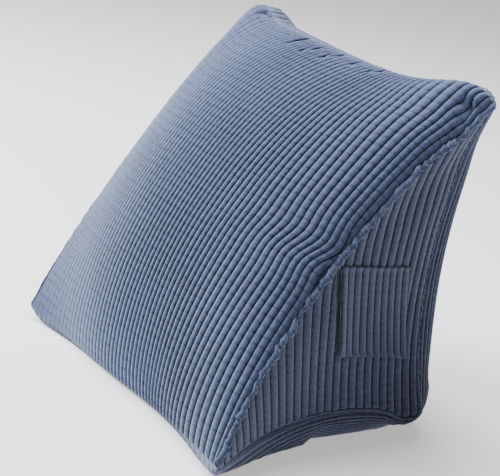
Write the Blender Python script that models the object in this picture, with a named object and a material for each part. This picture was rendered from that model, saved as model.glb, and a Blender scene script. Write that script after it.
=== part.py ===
"""Wedge backrest pillow in wide-wale corduroy: one stuffed cushion and its side pocket.

Metres, +Z up. The cushion rests on its base panel, its back stands at +Y, the slope
that one leans on faces -Y and up, and the pocket is on the side at +X.
"""
import math
from collections import namedtuple

import bmesh
import bpy
import numpy as np

# Driving dimensions, between the tips of the corners
WIDTH = 0.450
DEPTH = 0.285
HEIGHT = 0.406

# Corduroy: wales across the wrapped strip and across each triangular side
STRIP_WALES = 58
SIDE_WALES = 27
WALE_RISE = 0.0028
WALE_FADE = 0.010
POINTS_PER_WALE = 2

# Rows of points along each panel
SLOPE_ROWS = 16
BACK_ROWS = 12
BASE_ROWS = 8
SIDE_ROWS = 9

# The stuffed cloth turns from straight to flat on the floor within this height
PRESS = 0.006

# How sharply a seam leaves its corners: 2 is a parabola, more keeps the middle straight
SEAM_POWER = 2.2

# The top seam sags most at this share of its run, the other seams at their middle
TOP_SAG = 0.40

Corner = namedtuple("Corner", "across depth height")
CORNERS = {
    "front_left": Corner(-0.496 * WIDTH, -0.509 * DEPTH, 0.017),
    "front_right": Corner(0.496 * WIDTH, -0.490 * DEPTH, 0.021),
    "rear_left": Corner(-0.496 * WIDTH, 0.500 * DEPTH, 0.026),
    "rear_right": Corner(0.488 * WIDTH, 0.490 * DEPTH, 0.032),
    "top_left": Corner(-0.500 * WIDTH, 0.505 * DEPTH, 1.039 * HEIGHT),
    "top_right": Corner(0.507 * WIDTH, 0.505 * DEPTH, 1.004 * HEIGHT),
}

# Each seam runs between two corners, and its middle is pulled by this much
Seam = namedtuple("Seam", "start end across depth height")
SEAMS = {
    "front": Seam("front_left", "front_right", 0.0, 0.031, -0.012),
    "rear": Seam("rear_left", "rear_right", 0.0, -0.010, -0.012),
    "top": Seam("top_left", "top_right", 0.0, -0.038, -0.010),
    "slope_left": Seam("front_left", "top_left", 0.018, -0.019, 0.014),
    "slope_right": Seam("front_right", "top_right", -0.018, -0.019, 0.014),
    "back_left": Seam("rear_left", "top_left", 0.045, 0.002, 0.0),
    "back_right": Seam("rear_right", "top_right", -0.045, 0.002, 0.0),
    "base_left": Seam("front_left", "rear_left", 0.026, 0.0, 0.020),
    "base_right": Seam("front_right", "rear_right", -0.026, 0.0, 0.020),
}

# The stuffing pushes a seam out of its line beside an upper corner, which makes blunt ears
Ear = namedtuple("Ear", "seam at reach across depth height")
EARS = (
    Ear("top", 0.940, 0.055, 0.0, 0.0, 0.017),
    Ear("top", 0.055, 0.050, 0.0, 0.0, 0.012),
    Ear("slope_right", 0.910, 0.060, 0.0, 0.0, -0.008),
    Ear("back_right", 0.850, 0.090, -0.009, 0.0, 0.0),
)
EAR_END = 14

# A panel puffs out by its crown; edge and run are how far towards its side seams and its
# end seams it stays full, steep is how abruptly it rises from them (0.5 is a quarter
# round), slack is how much less full it is at its left, and lean moves the crown along it
Panel = namedtuple("Panel", "low high left right rows crown edge run steep slack lean outward")
SLOPE_TILT = math.atan2(HEIGHT, DEPTH)
SLACK_FADE = 6
PANELS = {
    "slope": Panel("front", "top", "slope_left", "slope_right", SLOPE_ROWS,
                   0.062, 2.3, 2.3, 0.60, 0.60, 1.18,
                   (0, -math.sin(SLOPE_TILT), math.cos(SLOPE_TILT))),
    "back": Panel("rear", "top", "back_left", "back_right", BACK_ROWS,
                  0.074, 4.0, 4.0, 0.50, 0.0, 1.0, (0, 1, 0)),
    "base": Panel("front", "rear", "base_left", "base_right", BASE_ROWS,
                  0.060, 5.0, 2.4, 0.45, 0.0, 0.90, (0, 0, -1)),
}

# The triangular sides puff out less and rise more gently from their seams; they start
# thin at the front corner, stay full nearly to the back and follow the back seam there
SIDE_CROWN = 0.011
SIDE_EDGE = 2.0
SIDE_STEEP = 1.0
SIDE_START = 0.8
SIDE_FULL = 6
SIDE_FOLLOW = 3

# Guide ribs: the shares across a panel at which they lie at its foot, middle and head.
# Below 0 a rib has run out at the left seam; the other ribs lie smoothly between these.
Guide = namedtuple("Guide", "rib foot middle head")
SLOPE_GUIDES = (
    Guide(0, -0.15, -0.10, 0.00),
    Guide(21, 0.265, 0.320, 0.420),
    Guide(30, 0.430, 0.485, 0.540),
    Guide(39, 0.585, 0.640, 0.690),
    Guide(45, 0.675, 0.755, 0.765),
    Guide(51, 0.795, 0.885, 0.862),
    Guide(54, 0.890, 0.943, 0.942),
    Guide(57, 0.980, 0.988, 0.988),
    Guide(STRIP_WALES, 1.0, 1.0, 1.0),
)
SIDE_GUIDES = (
    Guide(0, 0.0, 0.0, 0.0),
    Guide(7, 0.250, 0.224, 0.213),
    Guide(14, 0.515, 0.474, 0.458),
    Guide(21, 0.785, 0.750, 0.755),
    Guide(SIDE_WALES, 1.0, 1.0, 1.0),
)

# Past the pocket's upper corner the slope's ribs jog sideways
JOG_RIB = 51
JOG_RIBS = 6
JOG_UP = 0.50
JOG_REACH = 0.055
JOG_SHIFT = 0.020

# Columns that have run out end this close to the seam
EDGE_SHARE = 0.0012

# A point well inside the cushion, which every panel faces away from
INSIDE = (0.0, 0.0, 0.142)
NORMAL_STEP = 0.004

# The corners of the pocket patch, each by its rib on the side panel and its height
Spot = namedtuple("Spot", "rib height")
POCKET_CORNERS = {
    "low_front": Spot(16.4, 0.118),
    "low_back": Spot(25.5, 0.100),
    "high_back": Spot(24.0, 0.212),
    "high_front": Spot(15.5, 0.228),
}
POCKET_WALES = 10
POCKET_ROWS = 10
POCKET_CLOTH = 0.0018
POCKET_RISE = 0.0018

# How far its open front edge stands off, how much thicker the stitched hems are, and how
# far from the edges either reaches, as a share of the patch
POCKET_MOUTH = 0.0026
MOUTH_REACH = 0.25
POCKET_HEM = 0.0008
HEM_REACH = 0.12

# Clear distance between the patch and the wales under it
GAP = 0.0003

CLOTH_COLOUR = (0.085, 0.125, 0.215, 1.0)
POCKET_COLOUR = (0.075, 0.112, 0.195, 1.0)


def clear_scene():
    for obj in list(bpy.data.objects):
        bpy.data.objects.remove(obj)


def cloth_material(name, colour):
    material = bpy.data.materials.new(name)
    material.use_nodes = True
    shader = material.node_tree.nodes["Principled BSDF"]
    shader.inputs["Base Color"].default_value = colour
    shader.inputs["Roughness"].default_value = 0.92
    shader.inputs["Metallic"].default_value = 0.0
    return material


def smooth_step(value):
    value = np.clip(value, 0.0, 1.0)
    return value * value * (3.0 - 2.0 * value)


def hill(offset, reach):
    """1 at no offset, falling softly to 0 over a few reaches."""
    return np.exp(-((offset / reach) ** 2))


def bow(share, power):
    """0 at both ends of a seam or panel, 1 in its middle."""
    return np.clip(1.0 - np.abs(2.0 * share - 1.0) ** power, 0.0, 1.0)


def seam_points(name, share):
    """Points of a seam, where share runs from 0 at its start to 1 at its end."""
    seam = SEAMS[name]
    start = np.array(CORNERS[seam.start])
    end = np.array(CORNERS[seam.end])
    pull = np.array((seam.across, seam.depth, seam.height))
    share = np.asarray(share, float)[..., None]
    warped = share ** (math.log(0.5) / math.log(TOP_SAG)) if name == "top" else share
    points = start * (1 - share) + end * share + pull * bow(warped, SEAM_POWER)
    for ear in EARS:
        if ear.seam == name:
            near = hill(share - ear.at, ear.reach) * bow(share, EAR_END)
            points = points + near * np.array((ear.across, ear.depth, ear.height))
    return points


def strip_points(panel, across, along):
    """A four-sided panel: the patch between its seams, puffed out by its crown."""
    u = np.asarray(across, float)
    v = np.asarray(along, float)
    low, high = seam_points(panel.low, u), seam_points(panel.high, u)
    left, right = seam_points(panel.left, v), seam_points(panel.right, v)
    corners = [seam_points(side, end) for side in (panel.low, panel.high) for end in (0.0, 1.0)]
    u, v = u[..., None], v[..., None]
    patch = (1 - v) * low + v * high + (1 - u) * left + u * right
    patch = patch - (1 - v) * ((1 - u) * corners[0] + u * corners[1])
    patch = patch - v * ((1 - u) * corners[2] + u * corners[3])
    puff = (bow(u, panel.edge) * bow(v ** panel.lean, panel.run)) ** panel.steep
    puff = puff * (1 - panel.slack * (1 - u) ** SLACK_FADE)
    return patch + panel.crown * puff * np.array(panel.outward)


def side_points(hand, across, along):
    """A triangular side: across runs from the front corner to the back seam, along runs up."""
    u = np.asarray(across, float)
    v = np.asarray(along, float)
    low, high = seam_points("base_" + hand, u), seam_points("slope_" + hand, u)
    back = seam_points("back_" + hand, v)
    foot, head = seam_points("back_" + hand, 0.0), seam_points("back_" + hand, 1.0)
    u, v = u[..., None], v[..., None]
    patch = (1 - v) * low + v * high + u ** SIDE_FOLLOW * (back - (1 - v) * foot - v * head)
    puff = (bow(v, SIDE_EDGE) ** SIDE_STEEP * u ** SIDE_START
            * np.sqrt(np.clip(1 - u ** SIDE_FULL, 0, 1)))
    outward = 1.0 if hand == "right" else -1.0
    return patch + SIDE_CROWN * puff * np.array((outward, 0, 0))


def outward_normals(surface, across, along, most=(1.0, 1.0), step=NORMAL_STEP):
    """Unit normals of a surface function, pointing away from the cushion's middle."""
    u0, u1 = np.clip(across - step, 0, most[0]), np.clip(across + step, 0, most[0])
    v0, v1 = np.clip(along - step, 0, most[1]), np.clip(along + step, 0, most[1])
    normal = np.cross(surface(u1, along) - surface(u0, along),
                      surface(across, v1) - surface(across, v0))
    length = np.linalg.norm(normal, axis=-1, keepdims=True)
    normal = normal / np.maximum(length, 1e-9)
    facing = np.sum(normal * (surface(across, along) - np.array(INSIDE)), axis=-1, keepdims=True)
    return np.where(facing < 0, -normal, normal)


def wale_height(counted):
    """1 on the crest of each wale, 0 in the grooves between them."""
    return 0.5 - 0.5 * np.cos(2 * math.pi * counted)


def rib_places(guides, counted, along):
    """Shares across a panel at which its ribs lie, at shares along it."""
    rib, foot, middle, head = np.array(guides).T
    counted, along = np.broadcast_arrays(np.asarray(counted, float), np.asarray(along, float))
    v = along[..., None]
    marks = foot * (1 - v) * (1 - 2 * v) + middle * 4 * v * (1 - v) + head * v * (2 * v - 1)
    lean = np.gradient(marks, rib, axis=-1)
    n = np.clip(np.searchsorted(rib, counted) - 1, 0, len(rib) - 2)[..., None]
    gap = rib[n + 1] - rib[n]
    t = (counted[..., None] - rib[n]) / gap
    pick = np.take_along_axis
    start = pick(marks, n, -1) * (1 + 2 * t) + pick(lean, n, -1) * gap * t
    end = pick(marks, n + 1, -1) * (3 - 2 * t) - pick(lean, n + 1, -1) * gap * (1 - t)
    return (start * (1 - t) ** 2 + end * t ** 2)[..., 0]


def strip_places(name, counted, along):
    """Shares across the slope, the back or the base, whose ribs meet at their seams."""
    if name == "slope":
        climb = (along - JOG_UP) / JOG_REACH
        jog = JOG_SHIFT * climb * hill(climb, 1.0) * hill(counted - JOG_RIB, JOG_RIBS)
        return rib_places(SLOPE_GUIDES, counted, along) + jog
    even = counted / STRIP_WALES
    met = rib_places(SLOPE_GUIDES, counted, 1.0 if name == "back" else 0.0)
    share = along if name == "back" else 1 - along
    return even * (1 - share) + met * share


def ribbed(surface, across, along, crests, reach):
    """The surface with its wales raised, fading out where the seams pinch the cloth."""
    across, along = np.broadcast_arrays(np.asarray(across, float), np.asarray(along, float))
    wide, long = reach
    fade = (smooth_step(np.minimum(across, 1 - across) * wide / WALE_FADE)
            * smooth_step(np.minimum(along, 1 - along) * long / WALE_FADE))
    rise = WALE_RISE * fade * crests
    return surface(across, along) + rise[..., None] * outward_normals(surface, across, along)


def press_on_floor(points):
    """Flattens whatever would sink below the floor, with a soft turn just above it."""
    z = points[..., 2]
    turning = (z + PRESS) ** 2 / (4 * PRESS)
    points[..., 2] = np.where(z < -PRESS, 0.0, np.where(z < PRESS, turning, z))
    return points


def eased(rows):
    """Shares from 0 to 1, closer together near both seams, where the cloth curves most."""
    return 0.5 - 0.5 * np.cos(np.linspace(0, math.pi, rows + 1))


class Skin:
    """Collects points and faces of one closed body."""

    def __init__(self):
        self.points = []
        self.faces = []

    def add(self, points):
        first = len(self.points)
        self.points.extend(np.reshape(points, (-1, 3)))
        return np.arange(first, len(self.points)).reshape(np.shape(points)[:-1])

    def weave(self, grid):
        """Two triangles for each cell of a grid of point numbers."""
        for row, above in zip(grid[:-1], grid[1:]):
            for a, b, c, d in zip(row[:-1], row[1:], above[1:], above[:-1]):
                self.faces += [(a, b, c), (a, c, d)]

    def zip_up(self, one, one_share, two, two_share):
        """Joins two rows of points that run the same way but differ in number."""
        i = j = 0
        while i < len(one) - 1 or j < len(two) - 1:
            next_one = one_share[i + 1] if i < len(one) - 1 else math.inf
            next_two = two_share[j + 1] if j < len(two) - 1 else math.inf
            if next_one <= next_two:
                self.faces.append((one[i], one[i + 1], two[j]))
                i += 1
            else:
                self.faces.append((one[i], two[j + 1], two[j]))
                j += 1

    def make(self, name, material):
        mesh = bpy.data.meshes.new(name)
        faces = [tuple(int(n) for n in face) for face in self.faces if len(set(face)) == 3]
        mesh.from_pydata([tuple(map(float, point)) for point in self.points], [], faces)
        tidy = bmesh.new()
        tidy.from_mesh(mesh)
        unused = [vertex for vertex in tidy.verts if not vertex.link_faces]
        bmesh.ops.delete(tidy, geom=unused, context="VERTS")
        bmesh.ops.recalc_face_normals(tidy, faces=tidy.faces)
        tidy.to_mesh(mesh)
        tidy.free()
        mesh.shade_smooth()
        mesh.materials.append(material)
        obj = bpy.data.objects.new(name, mesh)
        bpy.context.scene.collection.objects.link(obj)
        return obj


def strip_reach(panel):
    """Rough width and length of a panel, for fading the wales near its seams."""
    length = np.linalg.norm(seam_points(panel.high, 0.5) - seam_points(panel.low, 0.5))
    return WIDTH, length


def heights_at(hand, across):
    """Heights of the base seam and of the slope seam at a share across a side."""
    return (seam_points("base_" + hand, across)[..., 2],
            seam_points("slope_" + hand, across)[..., 2])


def columns(wales):
    """Counts of wales at which a panel has its columns of points."""
    return np.linspace(0, wales, wales * POINTS_PER_WALE + 1)


def side_grid(skin, hand, corner):
    """Point numbers of a triangular side, its first column being the front corner."""
    along = eased(SIDE_ROWS)
    counted, v = np.meshgrid(columns(SIDE_WALES), along)
    u = rib_places(SIDE_GUIDES, counted, v)

    def surface(a, b):
        return side_points(hand, a, b)

    points = ribbed(surface, u, v, wale_height(counted), (DEPTH, 0.5 * HEIGHT))[:, 1:]
    numbers = skin.add(press_on_floor(points))
    first = np.full((len(along), 1), corner)
    return np.hstack([first, numbers]), u, along


def run_out(numbers, u):
    """Gives columns that have run out at the left seam the point of the last of them."""
    gone = np.nonzero(u <= EDGE_SHARE)[0]
    if len(gone):
        numbers[gone] = numbers[gone[-1]]


def strip_grid(skin, name, low, high):
    """Point numbers of a four-sided panel between its side seams; low and high are shared."""
    panel = PANELS[name]
    along = eased(panel.rows)
    counted, v = np.meshgrid(columns(STRIP_WALES)[1:-1], along[1:-1])
    u = strip_places(name, counted, v)

    def surface(a, b):
        return strip_points(panel, a, b)

    clipped = np.clip(u, EDGE_SHARE, 1 - EDGE_SHARE)
    points = ribbed(surface, clipped, v, wale_height(counted), strip_reach(panel))
    numbers = skin.add(press_on_floor(points))
    for row, places in zip(numbers, u):
        run_out(row, places)
    return np.vstack([low, numbers, high]), along


def shared_seam(skin, name):
    """Point numbers of a seam between two four-sided panels, at their common columns."""
    panel, end = {"front": ("slope", 0.0), "top": ("slope", 1.0), "rear": ("back", 0.0)}[name]
    u = strip_places(panel, columns(STRIP_WALES)[1:-1], end)
    clipped = np.clip(u, EDGE_SHARE, 1 - EDGE_SHARE)
    numbers = skin.add(press_on_floor(seam_points(name, clipped)))
    run_out(numbers, u)
    return numbers


def build_cushion(material):
    """Slope, back and base are one strip; the triangular sides close its two ends."""
    skin = Skin()
    shared = {name: shared_seam(skin, name) for name in ("front", "rear", "top")}
    sides = {}
    for hand in ("left", "right"):
        corner = skin.add(seam_points("base_" + hand, 0.0)[None])[0]
        sides[hand] = side_grid(skin, hand, corner)
        skin.weave(sides[hand][0])
    for name, panel in PANELS.items():
        grid, along = strip_grid(skin, name, shared[panel.low], shared[panel.high])
        skin.weave(grid)
        for hand, column in (("left", grid[:, 0]), ("right", grid[:, -1])):
            numbers, side_across, side_along = sides[hand]
            edge = {"slope": (numbers[-1], side_across[-1]),
                    "base": (numbers[0], side_across[0]),
                    "back": (numbers[:, -1], side_along)}[name]
            skin.zip_up(column, along, *edge)
    return skin.make("cushion", material)


def share_up(counted, height):
    """How far up the right side a height is, on a rib."""
    across = counted / SIDE_WALES
    for _ in range(4):
        low, high = heights_at("right", across)
        along = np.clip((height - low) / (high - low), 0, 1)
        across = rib_places(SIDE_GUIDES, counted, along)
    return along


def pocket_surface(counted, height):
    """A point of the right side, by its rib and its height, between its rows."""
    along = share_up(counted, height)
    rows = eased(SIDE_ROWS)
    row = np.clip(np.searchsorted(rows, along, side="right") - 1, 0, SIDE_ROWS - 1)
    share = ((along - rows[row]) / (rows[row + 1] - rows[row]))[..., None]
    below, above = (side_points("right", rib_places(SIDE_GUIDES, counted, rows[near]), rows[near])
                    for near in (row, row + 1))
    return (1 - share) * below + share * above


def pocket_spots(from_mouth, from_foot):
    """Rib counts and heights on the patch, from its open edge and from its foot."""
    spots = {name: np.array(spot) for name, spot in POCKET_CORNERS.items()}
    u, v = from_mouth[..., None], from_foot[..., None]
    low = (1 - u) * spots["low_front"] + u * spots["low_back"]
    high = (1 - u) * spots["high_front"] + u * spots["high_back"]
    spot = (1 - v) * low + v * high
    return spot[..., 0], spot[..., 1]


def build_pocket(material):
    """A thin ribbed patch that lies on the side, its front edge standing a little off."""
    ribs, from_foot = np.meshgrid(columns(POCKET_WALES), np.linspace(0, 1, POCKET_ROWS + 1))
    from_mouth = ribs / POCKET_WALES
    counted, height = pocket_spots(from_mouth, from_foot)
    on_side = pocket_surface(counted, height)
    outward = outward_normals(pocket_surface, counted, height, (SIDE_WALES, HEIGHT))
    stand = POCKET_MOUTH * (1 - smooth_step(from_mouth / MOUTH_REACH)) * bow(from_foot, 4)
    hem = POCKET_HEM * (1 - smooth_step(np.minimum(from_foot, 1 - from_foot) / HEM_REACH))
    under = WALE_RISE + GAP + stand
    over = under + POCKET_CLOTH + hem + POCKET_RISE * wale_height(ribs)
    skin = Skin()
    inner = skin.add(on_side + under[..., None] * outward)
    outer = skin.add(on_side + over[..., None] * outward)
    skin.weave(inner)
    skin.weave(outer)
    for one, two in ((inner[0], outer[0]), (inner[-1], outer[-1]),
                     (inner[:, 0], outer[:, 0]), (inner[:, -1], outer[:, -1])):
        skin.weave(np.array([one, two]))
    return skin.make("side_pocket", material)


def centre_on_origin(objects):
    """Moves the points so that the origin is the middle of the underside."""
    points = np.array([tuple(vertex.co) for obj in objects for vertex in obj.data.vertices])
    middle = (points.min(axis=0) + points.max(axis=0)) / 2
    for obj in objects:
        for vertex in obj.data.vertices:
            vertex.co.x -= middle[0]
            vertex.co.y -= middle[1]


clear_scene()
cushion = build_cushion(cloth_material("slate blue corduroy", CLOTH_COLOUR))
pocket = build_pocket(cloth_material("slate blue corduroy, pocket", POCKET_COLOUR))
centre_on_origin([cushion, pocket])
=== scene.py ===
# %% [markdown]
# # A wedge backrest pillow in wide-wale corduroy
#
# The pillow is a stuffed cover of five panels: a slope to lean on, an upright back, a base and
# two triangular sides. One side carries a patch pocket. This lesson loads the packed solids,
# whose place and main sizes it keeps, and then makes the cover as it looks: ribbed, drawn in
# along its seams and creased at its corners.

# %% Load the packed solids
import math
from collections import namedtuple

import bmesh
import bpy
import numpy as np
from mathutils import Matrix, Vector


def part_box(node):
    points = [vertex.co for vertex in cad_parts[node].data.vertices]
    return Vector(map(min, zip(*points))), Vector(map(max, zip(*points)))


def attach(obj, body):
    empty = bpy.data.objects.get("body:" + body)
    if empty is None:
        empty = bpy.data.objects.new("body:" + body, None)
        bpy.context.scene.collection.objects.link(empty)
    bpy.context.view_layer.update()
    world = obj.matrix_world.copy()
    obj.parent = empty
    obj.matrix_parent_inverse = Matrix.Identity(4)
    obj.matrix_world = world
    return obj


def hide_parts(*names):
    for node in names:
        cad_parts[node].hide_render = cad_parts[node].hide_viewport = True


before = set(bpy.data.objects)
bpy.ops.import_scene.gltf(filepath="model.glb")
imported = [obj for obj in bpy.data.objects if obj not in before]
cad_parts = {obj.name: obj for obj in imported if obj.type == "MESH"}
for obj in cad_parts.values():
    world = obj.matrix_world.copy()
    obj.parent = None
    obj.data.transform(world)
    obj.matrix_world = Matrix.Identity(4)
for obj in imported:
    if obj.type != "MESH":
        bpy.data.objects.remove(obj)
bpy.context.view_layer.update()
print("solids:", sorted(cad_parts))

# %% [markdown]
# ## The camera
#
# The pillow is photographed from its front right corner, a little from above, and leaning in
# the picture. A camera is easiest to place by turning it around a target: an azimuth, an
# elevation, a roll and a distance. Its lens follows from the width of the view. It could also
# be aimed by hand, but a few named numbers are easier to check and to change.

# %% Place the camera
AZIMUTH = math.radians(53.25)
ELEVATION = math.radians(18.32)
ROLL = math.radians(8.85)
DISTANCE = 1.434
TARGET_HEIGHT = 0.205
TARGET_RIGHT = -0.0089
TARGET_UP = -0.0222
LENS = 86.4
SENSOR = 36.0


def place_camera():
    """A camera that looks at the pillow from its front right corner."""
    back = np.array((math.sin(AZIMUTH) * math.cos(ELEVATION),
                     -math.cos(AZIMUTH) * math.cos(ELEVATION), math.sin(ELEVATION)))
    level = np.array((math.cos(AZIMUTH), math.sin(AZIMUTH), 0.0))
    upright = np.cross(back, level)
    right = math.cos(ROLL) * level + math.sin(ROLL) * upright
    up = np.cross(back, right)
    target = np.array((0, 0, TARGET_HEIGHT)) + TARGET_RIGHT * right + TARGET_UP * up
    data = bpy.data.cameras.new("camera")
    data.lens = LENS
    data.sensor_width = SENSOR
    camera = bpy.data.objects.new("camera", data)
    bpy.context.scene.collection.objects.link(camera)
    turn = np.column_stack([right, up, back])
    matrix = np.eye(4)
    matrix[:3, :3] = turn
    matrix[:3, 3] = target + DISTANCE * back
    camera.matrix_world = Matrix(matrix.tolist())
    bpy.context.scene.camera = camera
    return camera


camera = place_camera()
print("camera at", [round(value, 3) for value in camera.matrix_world.translation])

# %% [markdown]
# ## The seams
#
# A cushion is easiest to describe by its seams, as a maker would: the corners are where three
# panels meet, and each seam runs between two corners, its middle drawn in by the filling.
# The sizes are those of the solids, and the cover keeps to them within a few millimetres at
# most places. A few seams are pulled further, and bunched cloth lifts or dips a seam beside
# a corner, which at the top seam adds up to nearly two centimetres. Each such ear has a place
# along its seam, a reach, and the distance by which it moves the seam.

# %% Sizes of the pillow
WIDTH = 0.450
DEPTH = 0.285
HEIGHT = 0.406
SEAM_POWER = 2.2
TOP_LOWEST_AT = 0.40
PRESS = 0.006

Corner = namedtuple("Corner", "across depth height")
CORNERS = {
    "front_left": Corner(-0.496 * WIDTH, -0.509 * DEPTH, 0.017),
    "front_right": Corner(0.496 * WIDTH, -0.490 * DEPTH, 0.021),
    "rear_left": Corner(-0.496 * WIDTH, 0.500 * DEPTH, 0.026),
    "rear_right": Corner(0.488 * WIDTH, 0.490 * DEPTH, 0.032),
    "top_left": Corner(-0.500 * WIDTH, 0.505 * DEPTH, 1.039 * HEIGHT),
    "top_right": Corner(0.507 * WIDTH, 0.505 * DEPTH, 1.004 * HEIGHT),
}

Seam = namedtuple("Seam", "start end across depth height")
SEAMS = {
    "front": Seam("front_left", "front_right", 0.0, 0.031, -0.020),
    "rear": Seam("rear_left", "rear_right", 0.0, -0.010, -0.012),
    "top": Seam("top_left", "top_right", 0.0, -0.038, -0.010),
    "slope_left": Seam("front_left", "top_left", 0.005, -0.019, 0.012),
    "slope_right": Seam("front_right", "top_right", -0.018, -0.019, 0.014),
    "back_left": Seam("rear_left", "top_left", 0.045, 0.002, 0.0),
    "back_right": Seam("rear_right", "top_right", -0.045, 0.002, 0.0),
    "base_left": Seam("front_left", "rear_left", 0.026, 0.0, 0.020),
    "base_right": Seam("front_right", "rear_right", -0.026, 0.0, 0.020),
}

EAR_END = 14
EAR_HOLD = 4
Ear = namedtuple("Ear", "seam at reach across depth height")
EARS = (
    Ear("top", 0.130, 0.056, 0.0, 0.0, 0.013),
    Ear("top", 0.250, 0.300, 0.0, 0.0, 0.008),
    Ear("top", 0.985, 0.130, 0.0, 0.0, 0.018),
    Ear("slope_right", 0.910, 0.060, 0.0, 0.0, -0.008),
    Ear("back_right", 0.850, 0.090, -0.0045, 0.0, 0.0),
    Ear("base_right", 0.930, 0.050, 0.0, 0.0, -0.007),
    Ear("front", 0.380, 0.200, 0.0, -0.008, 0.0),
)

cushion_low, cushion_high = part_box("cushion")
SHIFT = np.array((cushion_high.x - CORNERS["top_right"].across,
                  cushion_low.y - CORNERS["front_left"].depth, 0.0))
print("the solids' middle lies at", (-SHIFT).round(4))

# %% Curves that the panels are made of


def smooth_step(value):
    """0 below 0, 1 above 1, and a soft ramp between."""
    value = np.clip(value, 0.0, 1.0)
    return value * value * (3.0 - 2.0 * value)


def hill(offset, reach):
    """1 at no offset, falling softly to 0 over a few reaches."""
    return np.exp(-((offset / reach) ** 2))


def unit(vectors):
    """Vectors of the same directions and of length 1."""
    return vectors / np.maximum(np.linalg.norm(vectors, axis=-1, keepdims=True), 1e-12)


def bow(share, power):
    """0 at both ends of a seam or panel, 1 in its middle."""
    return np.clip(1.0 - np.abs(2.0 * share - 1.0) ** power, 0.0, 1.0)


def ear_lift(name, share):
    """How far the ears of a seam move its points."""
    lift = np.zeros(np.shape(share) + (3,))
    for ear in EARS:
        if ear.seam == name:
            near = hill(share - ear.at, ear.reach) * bow(share, EAR_END)
            lift = lift + near[..., None] * np.array((ear.across, ear.depth, ear.height))
    return lift


def seam_points(name, share):
    """Points of a seam, where share runs from 0 at its start to 1 at its end."""
    seam = SEAMS[name]
    start = np.array(CORNERS[seam.start])
    end = np.array(CORNERS[seam.end])
    pull = np.array((seam.across, seam.depth, seam.height))
    share = np.asarray(share, float)
    lift = ear_lift(name, share)
    share = share[..., None]
    warped = share ** (math.log(0.5) / math.log(TOP_LOWEST_AT)) if name == "top" else share
    return start * (1 - share) + end * share + pull * bow(warped, SEAM_POWER) + lift


print("seams:", len(SEAMS), "between", len(CORNERS), "corners")

# %% [markdown]
# ## The smooth panels
#
# Each four-sided panel fills the space between its four seams and is puffed out by its crown.
# A side is a triangle: its columns run up from the base seam to the slope seam, which makes
# them follow the ribs of its cloth. A cloth simulation could blow up flat pieces instead. A
# formula is used here because each seam, rib and fold then stays where it is wanted, and the
# shape is the same each time.

# %% The four-sided panels
Panel = namedtuple("Panel", "low high left right rows crown edge run steep slack lean outward")
SLOPE_TILT = math.atan2(HEIGHT, DEPTH)
SLACK_FADE = 6
PANELS = {
    "slope": Panel("front", "top", "slope_left", "slope_right", 104,
                   0.062, 2.3, 2.3, 0.60, 0.60, 1.18,
                   (0, -math.sin(SLOPE_TILT), math.cos(SLOPE_TILT))),
    "back": Panel("rear", "top", "back_left", "back_right", 30,
                  0.074, 4.0, 4.0, 0.50, 0.0, 1.0, (0, 1, 0)),
    "base": Panel("front", "rear", "base_left", "base_right", 20,
                  0.060, 5.0, 2.4, 0.45, 0.0, 0.90, (0, 0, -1)),
}


def strip_points(panel, across, along):
    """A four-sided panel: the patch between its seams, puffed out by its crown."""
    u = np.asarray(across, float)
    v = np.asarray(along, float)
    low, high = seam_points(panel.low, u), seam_points(panel.high, u)
    left, right = seam_points(panel.left, v), seam_points(panel.right, v)
    corners = [seam_points(side, end) for side in (panel.low, panel.high) for end in (0.0, 1.0)]
    head, side = ear_lift(panel.high, u), ear_lift(panel.right, v)
    u, v = u[..., None], v[..., None]
    patch = (1 - v) * low + v * high + (1 - u) * left + u * right
    patch = patch - (1 - v) * ((1 - u) * corners[0] + u * corners[1])
    patch = patch - v * ((1 - u) * corners[2] + u * corners[3])
    patch = patch + (v ** EAR_HOLD - v) * head + (u ** EAR_HOLD - u) * side
    puff = (bow(u, panel.edge) * bow(v ** panel.lean, panel.run)) ** panel.steep
    puff = puff * (1 - panel.slack * (1 - u) ** SLACK_FADE)
    return patch + panel.crown * puff * np.array(panel.outward)


print("rows of each panel:", {name: panel.rows for name, panel in PANELS.items()})

# %% The triangular sides
SIDE_ROWS = {"right": 80, "left": 20}
SIDE_CROWN = 0.011
SIDE_EDGE = 2.0
SIDE_START = 0.8
SIDE_FULL = 6
SIDE_FOLLOW = 3


def side_points(hand, across, along):
    """A triangular side: across runs from the front corner to the back seam, along runs up."""
    u = np.asarray(across, float)
    v = np.asarray(along, float)
    low, high = seam_points("base_" + hand, u), seam_points("slope_" + hand, u)
    back = seam_points("back_" + hand, v)
    foot, head = seam_points("back_" + hand, 0.0), seam_points("back_" + hand, 1.0)
    u, v = u[..., None], v[..., None]
    patch = (1 - v) * low + v * high + u ** SIDE_FOLLOW * (back - (1 - v) * foot - v * head)
    puff = bow(v, SIDE_EDGE) * u ** SIDE_START * np.sqrt(np.clip(1 - u ** SIDE_FULL, 0, 1))
    outward = 1.0 if hand == "right" else -1.0
    return patch + SIDE_CROWN * puff * np.array((outward, 0, 0))


def heights_at(hand, across):
    """Heights of the base seam and of the slope seam at a share across a side."""
    return (seam_points("base_" + hand, across)[..., 2],
            seam_points("slope_" + hand, across)[..., 2])


print("panels:", sorted(PANELS), "and two sides")

# %% [markdown]
# ## How the ribs run
#
# The ribs of the cloth are not parallel to the seams. Some run out at the slope's left seam,
# those on the right jog past the pocket's upper corner, and they spread apart again towards
# the front corner. A few guide ribs say where they lie at a few shares up the panel, and
# smooth curves through the guides place all the others. Each mesh column follows one line
# of the cloth. Straight, even columns would be simpler, but they would not bend as the cloth
# does. On the back and the base the ribs start from their seams with the slope, even out
# soon, and are gathered towards both sides, where the stuffed cloth turns steeply.

# %% Guide ribs of the slope and of the sides
STRIP_WALES = 58
SIDE_WALES = 27

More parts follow.
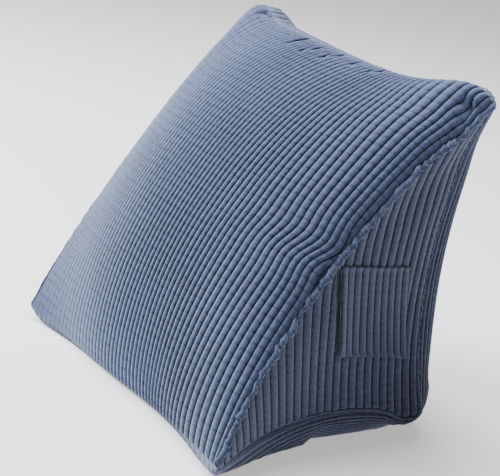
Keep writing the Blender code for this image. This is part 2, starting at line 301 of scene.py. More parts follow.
Guide = namedtuple("Guide", "rib foot middle head")
SLOPE_GUIDES = (
    Guide(0, -0.15, -0.10, 0.00),
    Guide(21, 0.265, 0.320, 0.420),
    Guide(30, 0.430, 0.485, 0.540),
    Guide(39, 0.585, 0.640, 0.690),
    Guide(45, 0.675, 0.755, 0.765),
    Guide(51, 0.795, 0.885, 0.862),
    Guide(54, 0.890, 0.943, 0.942),
    Guide(57, 0.980, 0.988, 0.988),
    Guide(STRIP_WALES, 1.0, 1.0, 1.0),
)
SIDE_GUIDES = (
    Guide(0, 0.0, 0.0, 0.0),
    Guide(7, 0.250, 0.224, 0.213),
    Guide(14, 0.515, 0.474, 0.458),
    Guide(21, 0.785, 0.750, 0.755),
    Guide(SIDE_WALES, 1.0, 1.0, 1.0),
)
RIB_EVENING = 5
GATHERS = {"back": 1.5, "base": 2.0}
JOG_RIB = 54
JOG_RIBS = 6.5
JOG_UP = 0.50
JOG_REACH = 0.050
JOG_SHIFT = 0.023


def rib_places(guides, counted, along):
    """Shares across a panel at which its ribs lie, at shares along it."""
    rib, foot, middle, head = np.array(guides).T
    counted, along = np.broadcast_arrays(np.asarray(counted, float), np.asarray(along, float))
    v = along[..., None]
    marks = foot * (1 - v) * (1 - 2 * v) + middle * 4 * v * (1 - v) + head * v * (2 * v - 1)
    lean = np.gradient(marks, rib, axis=-1)
    n = np.clip(np.searchsorted(rib, counted) - 1, 0, len(rib) - 2)[..., None]
    gap = rib[n + 1] - rib[n]
    t = (counted[..., None] - rib[n]) / gap
    pick = np.take_along_axis
    start = pick(marks, n, -1) * (1 + 2 * t) + pick(lean, n, -1) * gap * t
    end = pick(marks, n + 1, -1) * (3 - 2 * t) - pick(lean, n + 1, -1) * gap * (1 - t)
    return (start * (1 - t) ** 2 + end * t ** 2)[..., 0]


def strip_places(name, counted, along):
    """Shares across the slope, the back or the base, whose ribs meet at their seams."""
    if name == "slope":
        climb = (along - JOG_UP) / JOG_REACH
        jog = JOG_SHIFT * climb * hill(climb, 1.0) * hill(counted - JOG_RIB, JOG_RIBS)
        return rib_places(SLOPE_GUIDES, counted, along) + jog
    away = 2 * counted / STRIP_WALES - 1
    even = 0.5 + 0.5 * np.sign(away) * (1 - (1 - np.abs(away)) ** GATHERS[name])
    met = rib_places(SLOPE_GUIDES, counted, 1.0 if name == "back" else 0.0)
    share = (along if name == "back" else 1 - along) ** RIB_EVENING
    return even * (1 - share) + met * share


print("ribs across the slope:", STRIP_WALES, "and across a side:", SIDE_WALES)

# %% [markdown]
# ## Folds
#
# Stuffed cloth is never quite smooth. Creases fan out below the top seam, some corners are
# pinched, and lobes of cloth swell beside others. They could be sculpted by hand, but a short
# list is easier to read and to change. Each fold is a soft ridge or trough along a short line
# on its panel, with a height that is positive for a ridge and negative for a trough.

# %% Folds of each panel
SEAM_REACH = 0.008
Fold = namedtuple("Fold", "across along to_across to_along wide height")
FOLDS = {
    "slope": [
        Fold(0.88, 0.965, 0.950, 0.975, 0.050, 0.004),
        Fold(0.06, 0.965, 0.12, 0.975, 0.022, 0.004),
        Fold(0.995, 0.930, 0.972, 0.955, 0.006, -0.008),
        Fold(0.170, 0.982, 0.200, 0.997, 0.004, -0.005),
        Fold(0.396, 0.952, 0.411, 0.995, 0.003, -0.004),
        Fold(0.472, 0.945, 0.498, 0.985, 0.003, -0.003),
        Fold(0.541, 0.955, 0.567, 0.990, 0.003, -0.004),
        Fold(0.630, 0.970, 0.645, 0.998, 0.003, -0.004),
        Fold(0.696, 0.965, 0.717, 0.990, 0.003, -0.003),
    ],
    "back": [
        Fold(0.96, 0.025, 0.965, 0.055, 0.014, 0.007),
    ],
    "base": [
        Fold(0.955, 0.15, 0.955, 0.48, 0.014, 0.010),
        Fold(0.995, 0.60, 0.930, 0.52, 0.008, -0.008),
        Fold(0.970, 0.93, 0.985, 0.99, 0.016, -0.010),
    ],
}


def folded(name, across, along, size):
    """How far the folds of a panel lift it, at shares across and along it."""
    wide, long = size
    lift = np.zeros(np.broadcast(across, along).shape)
    for fold in FOLDS[name]:
        start = np.array((fold.across * wide, fold.along * long))
        run = np.array((fold.to_across * wide, fold.to_along * long)) - start
        x, y = across * wide - start[0], along * long - start[1]
        share = np.clip((x * run[0] + y * run[1]) / (run @ run), 0, 1)
        away = np.hypot(x - share * run[0], y - share * run[1])
        lift = lift + fold.height * hill(away, fold.wide)
    seam = np.minimum(np.minimum(across, 1 - across) * wide, np.minimum(along, 1 - along) * long)
    return lift * smooth_step(seam / SEAM_REACH)


print("folds:", {name: len(folds) for name, folds in FOLDS.items()})

# %% [markdown]
# ## The corduroy's ribs
#
# A wide wale is a full, rounded cord of pile with a narrow, steep groove beside it. A bump in
# the material could draw it, but only real points show on the outline, so the ribs are part
# of the mesh. The points are spaced unevenly across a wale, close together at the groove, so
# that few of them draw a sharp groove and a round crest. Near a seam the wales are pressed
# flat by the stitching, and under the pocket by its cloth. They are also lower where the pile
# is worn, on the far half of the slope and along its foot.

# %% The profile of a wale
WALE_RISE = 0.0030
WALE_FADE = 0.0035
FAR_FLAT = 0.86
FAR_REACH = 0.56
FOOT_FLAT = 0.65
FOOT_REACH = 0.22
FOOT_END = 0.62
WALE_STATIONS = (0.0, 0.07, 0.19, 0.40, 0.60, 0.81, 0.93)
WALE_ROUND = 2.2
WALE_STEEP = 0.62
INSIDE = (0.0, 0.0, 0.142)
NORMAL_STEP = 0.002

Spot = namedtuple("Spot", "rib height")
POCKET_CORNERS = {
    "low_front": Spot(16.4, 0.118),
    "low_back": Spot(25.5, 0.100),
    "high_back": Spot(24.0, 0.212),
    "high_front": Spot(15.5, 0.228),
}
POCKET_BED = 0.002


def within_pocket(counted, height):
    """1 under the pocket, where its side's wales are pressed flat, and 0 around it."""
    pitch = DEPTH / SIDE_WALES
    spots = [np.array((spot.rib * pitch, spot.height)) for spot in POCKET_CORNERS.values()]
    depths = []
    for start, end in zip(spots, spots[1:] + spots[:1]):
        run = (end - start) / np.linalg.norm(end - start)
        depths.append((height - start[1]) * run[0] - (counted * pitch - start[0]) * run[1])
    return smooth_step(np.min(depths, axis=0) / POCKET_BED)


def stations(wales):
    """Counts of wales at which a mesh has its columns, from 0 to the number of wales."""
    inner = [whole + part for whole in range(wales) for part in WALE_STATIONS]
    return np.array(inner + [wales], float)


def wale_height(counted):
    """1 on the crest of each wale, 0 in the grooves between them."""
    phase = counted - np.floor(counted)
    return (1 - np.abs(2 * phase - 1) ** WALE_ROUND) ** WALE_STEEP


def kept_rise(across, along):
    """The share of its rise that a wale keeps: less on the slope's far half and at its foot."""
    far = FAR_FLAT * (1 - smooth_step(across / FAR_REACH))
    foot = (1 - smooth_step(along / FOOT_REACH)) * (1 - smooth_step(across / FOOT_END))
    return (1 - far) * (1 - FOOT_FLAT * foot)


def outward_normals(surface, across, along):
    """Unit normals of a surface function, pointing away from the cushion's middle."""
    u0, u1 = np.clip(across - NORMAL_STEP, 0, 1), np.clip(across + NORMAL_STEP, 0, 1)
    v0, v1 = np.clip(along - NORMAL_STEP, 0, 1), np.clip(along + NORMAL_STEP, 0, 1)
    normal = unit(np.cross(surface(u1, along) - surface(u0, along),
                           surface(across, v1) - surface(across, v0)))
    facing = np.sum(normal * (surface(across, along) - np.array(INSIDE)), axis=-1, keepdims=True)
    return np.where(facing < 0, -normal, normal)


def ribbed(surface, across, along, crests, reach):
    """The surface with its wales raised, fading out where the seams pinch the cloth."""
    wide, long = reach
    fade = (smooth_step(np.minimum(across, 1 - across) * wide / WALE_FADE)
            * smooth_step(np.minimum(along, 1 - along) * long / WALE_FADE))
    rise = WALE_RISE * fade * crests
    return surface(across, along) + rise[..., None] * outward_normals(surface, across, along)


def press_on_floor(points):
    """Flattens whatever would sink below the floor, with a soft turn just above it."""
    z = points[..., 2]
    turning = (z + PRESS) ** 2 / (4 * PRESS)
    points[..., 2] = np.where(z < -PRESS, 0.0, np.where(z < PRESS, turning, z))
    return points


def eased(rows):
    """Shares from 0 to 1, closer together near both seams, where the cloth curves most."""
    return 0.5 - 0.5 * np.cos(np.linspace(0, math.pi, rows + 1))


print("points across each wale:", len(WALE_STATIONS))

# %% [markdown]
# ## Weaving the cover
#
# All panels go into one closed mesh, so that no gap can open at a seam. Slope, back and base
# share their seam points. The triangular sides have another number of columns, and are
# joined to them as a zip joins two rows. A map of the cloth is kept with the faces: how many
# wales across and how far along, which the material reads later. On the panels that stand in
# shade this count starts at a hundred, so that the material can tell them from the slope.

# %% A closed skin of points and faces


class Skin:
    """Collects points, faces and the cloth's own coordinates for one closed body."""

    def __init__(self):
        self.points = []
        self.faces = []
        self.cloth = []

    def add(self, points):
        """Keeps points, and gives their numbers in the shape of the grid they came in."""
        first = sum(len(block) for block in self.points)
        block = np.reshape(points, (-1, 3))
        self.points.append(block)
        return np.arange(first, first + len(block)).reshape(np.shape(points)[:-1])

    def face(self, corners, places):
        """Keeps a face, without the corners that repeat."""
        kept = [n for n, corner in enumerate(corners) if corner != corners[n - 1]]
        if len(kept) > 2:
            self.faces.append([corners[n] for n in kept])
            self.cloth.append([places[n] for n in kept])

    def weave(self, grid, cloth):
        """One face for each cell of a grid of point numbers."""
        grid = grid.tolist()
        cloth = cloth.tolist()
        for row in range(len(grid) - 1):
            for n in range(len(grid[0]) - 1):
                spots = ((row, n), (row, n + 1), (row + 1, n + 1), (row + 1, n))
                self.face([grid[a][b] for a, b in spots], [cloth[a][b] for a, b in spots])

    def zip_up(self, one, one_share, two, two_share, cloth):
        """Joins two rows of points that run the same way but differ in number."""
        one, two, cloth = one.tolist(), two.tolist(), cloth.tolist()
        i = j = 0
        while i < len(one) - 1 or j < len(two) - 1:
            next_one = one_share[i + 1] if i < len(one) - 1 else math.inf
            next_two = two_share[j + 1] if j < len(two) - 1 else math.inf
            if next_one <= next_two:
                self.face([one[i], one[i + 1], two[j]], [cloth[i], cloth[i + 1], cloth[i]])
                i += 1
            else:
                self.face([one[i], two[j + 1], two[j]], [cloth[i]] * 3)
                j += 1

    def make(self, name):
        """The mesh object, with its faces turned outwards."""
        mesh = bpy.data.meshes.new(name)
        points = np.vstack(self.points) + SHIFT
        mesh.from_pydata(points.tolist(), [], self.faces)
        layer = mesh.uv_layers.new(name="cloth")
        places = np.array([place for face in self.cloth for place in face], np.float32)
        layer.uv.foreach_set("vector", places.ravel())
        tidy = bmesh.new()
        tidy.from_mesh(mesh)
        unused = [vertex for vertex in tidy.verts if not vertex.link_faces]
        bmesh.ops.delete(tidy, geom=unused, context="VERTS")
        bmesh.ops.recalc_face_normals(tidy, faces=tidy.faces)
        tidy.to_mesh(mesh)
        tidy.free()
        mesh.shade_smooth()
        obj = bpy.data.objects.new(name, mesh)
        bpy.context.scene.collection.objects.link(obj)
        return obj


print("a skin keeps its", sorted(vars(Skin())))

# %% The panels of the cover
PITCH = WIDTH / STRIP_WALES
SIDE_HEIGHT = 0.5 * HEIGHT
EDGE_SHARE = 0.0012
STEEP_EDGE = 0.0002
STEEP_RUN = 8
SHADED_COUNT = 100
BED_EDGE = 0.2
SLOT_BEFORE = 0.36
SLOT_END = 17.5
TUCK = 0.0035
TUCK_ABOVE = 0.16


def panel_size(panel):
    """Rough width and length of a four-sided panel."""
    length = np.linalg.norm(seam_points(panel.high, 0.5) - seam_points(panel.low, 0.5))
    return WIDTH, length


def strip_grid(skin, name, start, end):
    """Point numbers of a four-sided panel between its side seams; start and end are shared."""
    panel = PANELS[name]
    size = panel_size(panel)
    counted = stations(STRIP_WALES)[1:-1]
    along = eased(panel.rows)
    c, v = np.meshgrid(counted, along)
    u = strip_places(name, c, v)
    edge, run = (EDGE_SHARE, 1) if name == "slope" else (STEEP_EDGE, STEEP_RUN)
    clipped = np.clip(u, edge, 1 - edge)

    def surface(a, b):
        lift = folded(name, a, b, size)
        return strip_points(panel, a, b) + lift[..., None] * np.array(panel.outward)

    inner = slice(1, -1)
    crests = wale_height(c[inner])
    if name == "slope":
        crests = crests * kept_rise(clipped[inner], v[inner])
    points = ribbed(surface, clipped[inner], v[inner], crests, (size[0] * run, size[1]))
    numbers = skin.add(press_on_floor(points))
    grid = np.vstack([start, numbers, end])
    for row in range(1, len(grid) - 1):
        left = np.nonzero(u[row] <= edge)[0]
        right = np.nonzero(u[row] >= 1 - edge)[0]
        if len(left):
            grid[row, left] = grid[row, left[-1]]
        if len(right):
            grid[row, right] = grid[row, right[0]]
    counts = c + (0 if name == "slope" else SHADED_COUNT)
    cloth = np.stack([counts, v * size[1] / PITCH], axis=-1)
    return grid, cloth, along


def side_grid(skin, hand, corner):
    """Point numbers of a triangular side, its first column being the front corner."""
    counted = stations(SIDE_WALES)
    along = eased(SIDE_ROWS[hand])
    c, v = np.meshgrid(counted, along)
    u = rib_places(SIDE_GUIDES, c, v)
    size = (DEPTH, SIDE_HEIGHT)
    low, high = heights_at(hand, u)
    height = (1 - v) * low + v * high
    crests = wale_height(c)
    shade = c
    if hand == "right":
        # The bed starts just before the pocket's mouth, where the slot is painted in the
        # groove's dark colour as painted shade. The ribs above the pocket reach a little way
        # under its top hem.
        tucked = height + TUCK * ((c >= SLOT_END) & (height > TUCK_ABOVE))
        crests = crests * (1 - within_pocket(c + SLOT_BEFORE * (c < SLOT_END), tucked))
        slot = (within_pocket(c + SLOT_BEFORE, height) > BED_EDGE) & (c < SLOT_END)
        shade = np.where(slot, np.floor(c), c)

    def surface(a, b):
        return side_points(hand, a, b)

    points = ribbed(surface, u, v, crests, size)[:, 1:]
    numbers = skin.add(press_on_floor(points))
    first = np.full((len(along), 1), corner)
    cloth = np.stack([shade + SHADED_COUNT, height / PITCH], axis=-1)
    return np.hstack([first, numbers]), cloth, u, along


def shared_seam(skin, name, along):
    """Points of a seam that two four-sided panels share, at their common columns."""
    counted = stations(STRIP_WALES)[1:-1]
    u = strip_places("back" if name == "rear" else "slope", counted, along)
    clipped = np.clip(u, EDGE_SHARE, 1 - EDGE_SHARE)
    numbers = skin.add(press_on_floor(seam_points(name, clipped)))
    for off in (np.nonzero(u <= EDGE_SHARE)[0], np.nonzero(u >= 1 - EDGE_SHARE)[0]):
        if len(off):
            numbers[off] = numbers[off[-1] if off[0] == 0 else off[0]]
    return numbers


print("ribs are", round(1000 * PITCH, 2), "mm apart across the slope")

# %% [markdown]
# ## Rolled seam edges
#
# The cloth beside each side seam is turned and top-stitched, so it stands up as a rolled,
# puckered edge that overhangs the side a little. It is modelled as a narrow tube along the
# seam, open towards the seam and joined to both panels there. A tube laid on top would be
# simpler, but it would leave a gap behind it, and this way the cover stays one skin.

# %% The rolled edge along a seam
Roll = namedtuple("Roll", "panel radius pucker")
ROLLS = (
    Roll("slope", 0.0034, 0.52),
    Roll("back", 0.0023, 0.34),
    Roll("base", 0.0015, 0.30),
)
ROLL_STEP = 0.00115
ROLL_TURNS = np.radians((-118, -78, -38, 0, 38, 78, 118))
ROLL_PROUD = 0.70
ROLL_TAPER = 0.006
PUCKER_KNOT = 0.0036
PUCKER_SLANT = 0.0026
# The roll's rows next to both panels take the groove's dark colour, as painted shade in the creases
# beside it. The rest takes the crest's colour.
ROLL_PHASES = (0.12, 0.5, 0.5, 0.5, 0.5, 0.30, 0.0)
STRANDS = 2.6
STRAND_SLANT = 0.5
FAR_ROLL = 0.35
ROLL_SWAY = 0.40
SWAY_KNOT = 0.011
ROLL_SWELL = 0.22
SWELL_KNOT = 0.019
SEAM_STEP = 0.004
STRIP_BESIDE = 0.015
SIDE_BESIDE = {"slope": 0.96, "base": 0.04, "back": 0.97}
LINE_STEPS = 400


def smooth_noise(length, knot, seed):
    """A function of a distance that wanders smoothly between -1 and 1."""
    draw = np.random.default_rng(seed)
    knots = draw.uniform(-1, 1, int(length / knot) + 3)

    def noise(distance):
        place = np.clip(distance / knot, 0, len(knots) - 1.001)
        low = place.astype(int)
        share = smooth_step(place - low)
        return knots[low] * (1 - share) + knots[low + 1] * share

    return noise


def seam_frame(hand, name, share):
    """Places on a side seam, and the directions away from the cushion and on to its side."""
    seam = name + "_" + hand
    places = seam_points(seam, share)
    run = unit(seam_points(seam, np.clip(share + SEAM_STEP, 0, 1))
               - seam_points(seam, np.clip(share - SEAM_STEP, 0, 1)))
    panel = PANELS[name]
    inside = np.full_like(share, 1 - STRIP_BESIDE if hand == "right" else STRIP_BESIDE)
    one = outward_normals(lambda a, b: strip_points(panel, a, b), inside, share)
    spots = (SIDE_BESIDE[name], share) if name == "back" else (share, SIDE_BESIDE[name])
    across, along = np.broadcast_arrays(*spots)
    two = outward_normals(lambda a, b: side_points(hand, a, b), across, along)
    away = one + two
    away = unit(away - np.sum(away * run, axis=-1, keepdims=True) * run)
    on = np.cross(run, away)
    towards = side_points(hand, across, along) - places
    facing = np.sum(on * towards, axis=-1, keepdims=True)
    return places, away, np.where(facing < 0, -on, on)


def rolled_edge(skin, hand, roll, first, last):
    """Rows of point numbers across the rolled edge of a seam, with shares and cloth places."""
    fine = np.linspace(0, 1, LINE_STEPS)
    line = seam_points(roll.panel + "_" + hand, fine)
    steps = np.linalg.norm(np.diff(line, axis=0), axis=1)
    distance = np.concatenate([[0], np.cumsum(steps)])
    length = distance[-1]
    count = round(length / ROLL_STEP)
    share = np.interp(np.linspace(0, length, count + 1), distance, fine)
    run = np.linspace(0, length, count + 1)
    seed = len(roll.panel) * 10 + len(hand)
    puckers = smooth_noise(length, PUCKER_KNOT, seed)
    sway = smooth_noise(length, SWAY_KNOT, seed + 1)(run)
    swell = smooth_noise(length, SWELL_KNOT, seed + 2)(run)
    places, away, on = seam_frame(hand, roll.panel, share)
    taper = np.sqrt(smooth_step(np.minimum(run, length - run) / ROLL_TAPER))
    size, depth = np.array((roll.radius, roll.pucker)) * (1.0 if hand == "right" else FAR_ROLL)
    rows = []
    for turn in ROLL_TURNS:
        pucker = depth * puckers(np.clip(run + PUCKER_SLANT * turn, 0, length))
        radius = size * taper * (1 + pucker + ROLL_SWELL * swell)
        out = radius * (ROLL_PROUD + math.cos(turn))
        side = radius * (math.sin(turn) + ROLL_SWAY * sway)
        rows.append(places + out[:, None] * away + side[:, None] * on)
    numbers = skin.add(press_on_floor(np.array(rows)))
    numbers[:, 0] = first
    numbers[:, -1] = last
    strands, turns = np.meshgrid(run / PITCH * STRANDS, ROLL_TURNS)
    _, phases = np.meshgrid(run, ROLL_PHASES)
    return numbers, share, np.stack([phases, strands + turns * STRAND_SLANT], axis=-1)


print("rolled edges on", [roll.panel for roll in ROLLS], "seams of both sides")

# %% Build the cover


def build_cover():
    """The whole cover as one closed mesh."""
    skin = Skin()
    shared = {"front": shared_seam(skin, "front", 0.0), "rear": shared_seam(skin, "rear", 0.0),
              "top": shared_seam(skin, "top", 1.0)}
    sides = {}
    for hand in ("left", "right"):
        corner = skin.add(seam_points("base_" + hand, 0.0)[None])[0]
        sides[hand] = side_grid(skin, hand, corner)
        skin.weave(sides[hand][0], sides[hand][1])
    for name, panel in PANELS.items():
        grid, cloth, along = strip_grid(skin, name, shared[panel.low], shared[panel.high])
        skin.weave(grid, cloth)
        for hand, column in (("left", 0), ("right", -1)):
            numbers, _, side_across, side_along = sides[hand]
            edge = {"slope": (numbers[-1], side_across[-1]),
                    "base": (numbers[0], side_across[0]),
                    "back": (numbers[:, -1], side_along)}[name]
            roll = [roll for roll in ROLLS if roll.panel == name][0]
            rows, share, places = rolled_edge(skin, hand, roll, grid[0, column], grid[-1, column])
            skin.zip_up(grid[:, column], along, rows[0], share, cloth[:, column])
            skin.weave(rows, places)
            skin.zip_up(rows[-1], share, *edge, places[-1])
    return skin.make("cushion_cover")


cover = build_cover()
tally = sum(len(face.vertices) - 2 for face in cover.data.polygons)
print("cover:", len(cover.data.vertices), "points,", tally, "triangles")

# %% [markdown]
# ## The pocket
#
# The pocket is a patch of the same cloth, laid over the side with its wales upright. It is
# sewn down along its top, bottom and back edges, and its front edge stands off a little over
# a slot, so that a hand or a book can slip in. The slot and the pocket's inside are painted
# in the groove's dark navy as painted shade. Its folded hems are scalloped, one small arch
# for each wale, and painted pale as a painted highlight. It could be cut out of the side
# itself, but a thin closed mesh that reads the side's own surface follows its curve and
# keeps a real edge.

# %% The pocket's cloth
POCKET_WALES = 10
POCKET_ROWS = 48
POCKET_WIDTH = 0.082
POCKET_HEIGHT = 0.112
POCKET_CLOTH = 0.0013
POCKET_RISE = 0.0022
POCKET_LIFT = 0.0005
POCKET_MOUTH = 0.0044
MOUTH_REACH = 0.16
MOUTH_END = 8
HEAD_LIFT = 0.0004
HEAD_FROM = 0.88
HEAD_RUN = 0.05
HEM = 0.0006
HEM_ROUND = 0.0009
HEM_WIDE = 0.0022
HEM_DIP = 0.0006
DIP_AT = 0.0065
DIP_WIDE = 0.0012
HEM_HIGHLIGHT = 0.7
HEM_BAND = 0.004
SCALLOP = 0.010
SETTLE_ROUNDS = 4


def on_side(counted, height):
    """Shares across and along the right side, for a rib and a height."""
    across = counted / SIDE_WALES
    for _ in range(SETTLE_ROUNDS):
        low, high = heights_at("right", across)
        along = np.clip((height - low) / (high - low), 0, 1)
        across = rib_places(SIDE_GUIDES, counted, along)
    return across, along


def pocket_points(from_mouth, from_foot, lift):
    """Points over the side at shares across and up the pocket, lifted off it by lift."""
    spots = {name: np.array(spot) for name, spot in POCKET_CORNERS.items()}
    a, b = from_mouth[..., None], from_foot[..., None]
    low = (1 - a) * spots["low_front"] + a * spots["low_back"]
    high = (1 - a) * spots["high_front"] + a * spots["high_back"]
    spot = (1 - b) * low + b * high
    across, along = on_side(spot[..., 0], spot[..., 1])

    def surface(u, v):
        return side_points("right", u, v)

    return surface(across, along) + lift[..., None] * outward_normals(surface, across, along)


def build_pocket():
    """The pocket as a thin closed sheet, ribbed on the outside."""
    skin = Skin()
    counted = stations(POCKET_WALES)
    c, b = np.meshgrid(counted, eased(POCKET_ROWS))
    a = c / POCKET_WALES
    edge = np.minimum(b, 1 - b) * POCKET_HEIGHT
    round_off = np.sqrt(np.clip(1 - (1 - np.clip(edge / HEM_ROUND, 0, 1)) ** 2, 0, 1))
    mouth = POCKET_MOUTH * (1 - smooth_step(a / MOUTH_REACH)) * bow(b, MOUTH_END)
    hem = HEM * hill(edge - HEM_ROUND, HEM_WIDE) - HEM_DIP * hill(edge - DIP_AT, DIP_WIDE)
    head = HEAD_LIFT * smooth_step((b - HEAD_FROM) / HEAD_RUN)
    scallop = SCALLOP * wale_height(c) * hill(edge, HEM_BAND)
    b = b + np.where(b > 0.5, scallop, -scallop)
    inner = POCKET_LIFT + mouth + head
    outer = inner + POCKET_CLOTH + (POCKET_RISE * wale_height(c) + hem) * round_off
    front = skin.add(pocket_points(a, b, outer))
    rear = skin.add(pocket_points(a, b, inner))
    middle = np.floor(c) + 0.5
    # The hems are painted pale: a painted highlight along the folds.
    pale = middle + (c - middle) * (1 - HEM_HIGHLIGHT * hill(edge, HEM_BAND))
    counts = np.where(c < 1, c, pale) + SHADED_COUNT
    cloth = np.stack([counts, b * POCKET_HEIGHT / PITCH], axis=-1)
    skin.weave(front, cloth)
    # The pocket's inside takes the groove's dark colour: painted shade.
    skin.weave(rear, np.floor(cloth))
    for edge_front, edge_rear, place in (
            (front[0], rear[0], cloth[0]), (front[-1], rear[-1], cloth[-1]),
            (front[:, 0], rear[:, 0], cloth[:, 0]), (front[:, -1], rear[:, -1], cloth[:, -1])):
        skin.weave(np.vstack([edge_front, edge_rear]), np.stack([place, place]))
    return skin.make("pocket_cloth"), (POCKET_WIDTH, POCKET_HEIGHT)


pocket, pocket_flat = build_pocket()
print("pocket:", len(pocket.data.vertices), "points,", len(pocket.data.polygons), "faces")

# %% [markdown]
# ## Node maths as Python
#
# A material here is a small sum over the surface. Its nodes could be added one by one, but
# the sum would be hard to read. Wrapping a socket in a class lets it be written as Python,
# and each operator adds its own Math node.

# %% A socket that can be added and multiplied


class Socket:
    """An output socket of a node tree, with arithmetic."""

    def __init__(self, tree, output):
        self.tree = tree
        self.output = output

    def node(self, kind, settings=None, output=0, **inputs):
        """Adds a node, its settings first and then its sockets, and gives one output."""
        made = self.tree.nodes.new(kind)
        for name, value in (settings or {}).items():
            setattr(made, name, value)
        for name, value in inputs.items():
            key = int(name[1:]) if name[0] == "s" and name[1:].isdigit() else name.replace("_", " ")
            if isinstance(value, Socket):
                self.tree.links.new(value.output, made.inputs[key])
            else:
                made.inputs[key].default_value = value
        return Socket(self.tree, made.outputs[output])

    def math(self, operation, other=None):
        """One Math node on this socket, and on another value where it takes two."""
        values = {"s0": self} if other is None else {"s0": self, "s1": other}
        return self.node("ShaderNodeMath", {"operation": operation}, **values)

    def __add__(self, other):
        return self.math("ADD", other)

    def __mul__(self, other):
        return self.math("MULTIPLY", other)

    def __sub__(self, other):
        return self.math("SUBTRACT", other)

    def __truediv__(self, other):
        return self.math("DIVIDE", other)

    def __rsub__(self, other):
        return self.node("ShaderNodeMath", {"operation": "SUBTRACT"}, s0=other, s1=self)

    def __rtruediv__(self, other):
        return self.node("ShaderNodeMath", {"operation": "DIVIDE"}, s0=other, s1=self)

    __radd__ = __add__
    __rmul__ = __mul__

    def between(self, low, high):
        """A soft ramp from 0 at low to 1 at high."""
        return self.node("ShaderNodeMapRange", {"interpolation_type": "SMOOTHSTEP"},
                         Value=self, From_Min=low, From_Max=high)


print("reflected operators:", [name for name in vars(Socket) if name.startswith("__r")])

# %% [markdown]
# ## The corduroy
#
# Seen close, each wale is a row of short kernels of pile with a fine break between them. The
# crests catch the light and are pale slate blue, with a painted highlight on top. The grooves
# are a deep navy, partly the cloth's own colour and partly painted shade. The map kept
# with the faces gives the wale's own coordinates, so groove, crest and kernel are simple
# functions of it, and noise adds the pile's specks and its brushed patches. A picture of
# cloth could be laid on instead, but it would repeat, and would not follow each wale. The
# grooves are painted paler as painted sheen on the slope's far side, along its foot and
# towards its top, and the panels in shade get a greyer copy of the colour as painted shade.
# Painted light also brightens the top of the slope, the left of its foot and the shaded
# panels near the floor, and painted shade darkens the right of its foot.

# %% The corduroy material
KERNEL = 1.33
KERNEL_BREAK = 0.55
KERNEL_SLIP = 0.14
DRIFT_SCALE = 45.0
FLECK_SCALE = 1100.0
MOTTLE_SCALE = 300.0
BRUSH_SCALE = 13.0
GROOVE = (0.03, 0.36)
FAR_SIDE = (-0.25, 0.05)
NEAR_SIDE = (-0.02, 0.12)
FOOT_BAND = (0.02, 0.16)
UNDER_BAND = (0.005, 0.035)
HEAD_BAND = (0.24, 0.45)
SHEEN_HEAD = (0.28, 0.42)
BUMP_STRENGTH = 0.65
BUMP_DEPTH = 0.0012


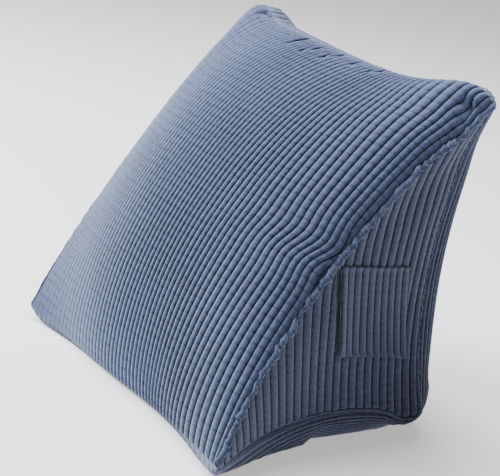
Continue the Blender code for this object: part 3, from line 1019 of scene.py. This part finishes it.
def corduroy(name, crest_colour, shaded_colour, groove_shade_colour):
    """Wide-wale corduroy: pale crests, navy grooves, kernels, fine pile, painted light and shade.
    """
    material = bpy.data.materials.new(name)
    material.use_nodes = True
    tree = material.node_tree
    shader = tree.nodes["Principled BSDF"]
    shader.inputs["Roughness"].default_value = 0.95
    shader.inputs["Specular IOR Level"].default_value = 0.12
    shader.inputs["Sheen Weight"].default_value = 0.60
    shader.inputs["Sheen Roughness"].default_value = 0.45
    shader.inputs["Sheen Tint"].default_value = (0.68, 0.79, 1.0, 1.0)
    place = tree.nodes.new("ShaderNodeUVMap")
    place.uv_map = "cloth"
    place = Socket(tree, place.outputs[0])
    split = place.node("ShaderNodeSeparateXYZ", s0=place)
    along = Socket(tree, split.output.node.outputs[1])
    phase = split.math("FRACT")
    crest = 1 - (phase * 2 - 1).math("ABSOLUTE")
    row = split.math("FLOOR")
    slip = row.node("ShaderNodeTexWhiteNoise", {"noise_dimensions": "1D"}, output="Value", W=row)
    where = Socket(tree, tree.nodes.new("ShaderNodeTexCoord").outputs["Object"])
    sideways = where.node("ShaderNodeSeparateXYZ", s0=where)
    upwards = Socket(tree, sideways.output.node.outputs[2])

    def noise(scale, detail, rough=0.5):
        made = where.node("ShaderNodeTexNoise", Vector=where, Scale=scale, Detail=detail,
                          Roughness=rough)
        return made - 0.5

    drift = noise(DRIFT_SCALE, 2.0)
    beads = ((along / KERNEL) + slip * KERNEL_SLIP + drift * 0.5).math("FRACT")
    bead = (1 - (beads * 2 - 1).math("ABSOLUTE")).between(0.0, KERNEL_BREAK)
    fleck = noise(FLECK_SCALE, 2.0, 0.7)
    mottle = noise(MOTTLE_SCALE, 3.0, 0.6)
    brushed = noise(BRUSH_SCALE, 3.0)
    groove = (crest + mottle * 0.16 + (bead - 0.6) * 0.08).between(*GROOVE)
    far = 1 - sideways.between(*FAR_SIDE)
    rough = fleck * 0.7 + mottle * (far * 0.8 + 0.75) + brushed * 0.40
    near = sideways.between(*NEAR_SIDE)
    low = 1 - upwards.between(*FOOT_BAND)
    shaded = split.between(SHADED_COUNT - 1, SHADED_COUNT)
    under = shaded * (1 - upwards.between(*UNDER_BAND))
    # Painted light: a painted highlight on the crests, and a paler tone towards the top of the
    # slope and on the shaded panels near the floor. Along the slope's foot it is painted light on
    # the left and painted shade on the right.
    base = upwards.between(*HEAD_BAND) * 0.34 + crest * 0.12 + under * 0.60 + 0.59
    base = base + low * (0.32 - near * 0.46) * (1 - shaded)
    tone = rough + (bead - 1) * (far * 0.06 - shaded * 0.14 + 0.24) + base
    # The grooves are painted paler on the far side, along the foot and towards the top of the
    # slope: painted sheen.
    painted_sheen = far * 0.50 + low * (1 - near) * 0.38 + upwards.between(*SHEEN_HEAD) * 0.24
    mask = (groove + (1 - groove) * painted_sheen) * tone
    # The panels in shade take a greyer copy of the crest colour: painted shade.
    pile = shaded.node("ShaderNodeMix", {"data_type": "RGBA"}, output=2, s0=shaded,
                      s6=(*crest_colour, 1.0), s7=(*shaded_colour, 1.0))
    # The grooves take the deep navy, partly the cloth's own colour and partly painted shade.
    colour = mask.node("ShaderNodeMix", {"data_type": "RGBA"}, output=2, s0=mask,
                       s6=(*groove_shade_colour, 1.0), s7=pile)
    tree.links.new(colour.output, shader.inputs["Base Color"])
    height = bead * (0.65 - shaded * 0.45 - far * 0.30) + mottle * 1.2 + fleck * 0.6
    bump = height.node("ShaderNodeBump", Strength=BUMP_STRENGTH, Distance=BUMP_DEPTH, Height=height)
    tree.links.new(bump.output, shader.inputs["Normal"])
    return material


# The shaded blue is a painted-shade copy of the crest blue, and the groove navy is partly painted
# shade.
CREST_BLUE = (0.064, 0.084, 0.157)
SHADED_BLUE = (0.056, 0.065, 0.112)
GROOVE_SHADE_NAVY = (0.004, 0.006, 0.017)
for piece, title in ((cover, "slate blue corduroy"), (pocket, "pocket corduroy")):
    piece.data.materials.append(corduroy(title, CREST_BLUE, SHADED_BLUE, GROOVE_SHADE_NAVY))
print("materials:", [piece.data.materials[0].name for piece in (cover, pocket)])

# %% [markdown]
# ## Floor and light
#
# The floor is plain and pale, and glows faintly, as under bright studio lamps. A large soft
# light from the upper left lights the slope and leaves the pocket's side in shade. On its own
# it would leave that shade too deep, so a second light overhead picks out the top seam, and a
# warm, dim surround keeps the shade open.

# %% Floor and lights
FLOOR_SIZE = 12.0
FLOOR_BELOW = 0.0005
FLOOR_GREY = (0.65, 0.65, 0.65, 1.0)
FLOOR_GLOW = 0.50
LAMP_WHITE = (0.93, 0.97, 1.0)
LAMP_AIM = (0, 0, 0.2)
SURROUND_WARM = (1.0, 0.84, 0.80, 1.0)
SURROUND_STRENGTH = 0.25


def pale_floor():
    """A plain floor under the pillow."""
    bpy.ops.mesh.primitive_plane_add(size=FLOOR_SIZE, location=(0, 0, -FLOOR_BELOW))
    floor = bpy.context.object
    floor.name = "floor"
    material = bpy.data.materials.new("pale floor")
    material.use_nodes = True
    shader = material.node_tree.nodes["Principled BSDF"]
    shader.inputs["Base Color"].default_value = FLOOR_GREY
    shader.inputs["Roughness"].default_value = 0.9
    shader.inputs["Emission Color"].default_value = (1.0, 1.0, 1.0, 1.0)
    shader.inputs["Emission Strength"].default_value = FLOOR_GLOW
    floor.data.materials.append(material)
    return floor


def soft_light(name, place, size, power):
    """A square area light that faces the pillow's middle."""
    data = bpy.data.lights.new(name, "AREA")
    data.size = size
    data.energy = power
    data.color = LAMP_WHITE
    light = bpy.data.objects.new(name, data)
    bpy.context.scene.collection.objects.link(light)
    light.location = place
    aim = np.array(LAMP_AIM) - np.array(place)
    light.rotation_euler = Vector(aim).to_track_quat("-Z", "Y").to_euler()
    return light


pale_floor()
soft_light("key", (-1.7, -1.5, 2.2), 1.4, 262.0)
soft_light("overhead", (-0.3, 0.0, 3.0), 1.2, 150.0)
world = bpy.data.worlds.new("surround")
world.use_nodes = True
world.node_tree.nodes["Background"].inputs["Color"].default_value = SURROUND_WARM
world.node_tree.nodes["Background"].inputs["Strength"].default_value = SURROUND_STRENGTH
bpy.context.scene.world = world
print("lights:", [item.name for item in bpy.data.lights])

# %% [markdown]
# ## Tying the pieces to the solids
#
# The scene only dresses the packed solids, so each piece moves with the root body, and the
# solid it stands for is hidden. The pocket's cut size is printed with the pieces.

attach(cover, "root")
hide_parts("cushion")

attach(pocket, "root")
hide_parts("side_pocket")
print("pieces:", cover.name, "and", pocket.name, "cut to", pocket_flat)

# %%
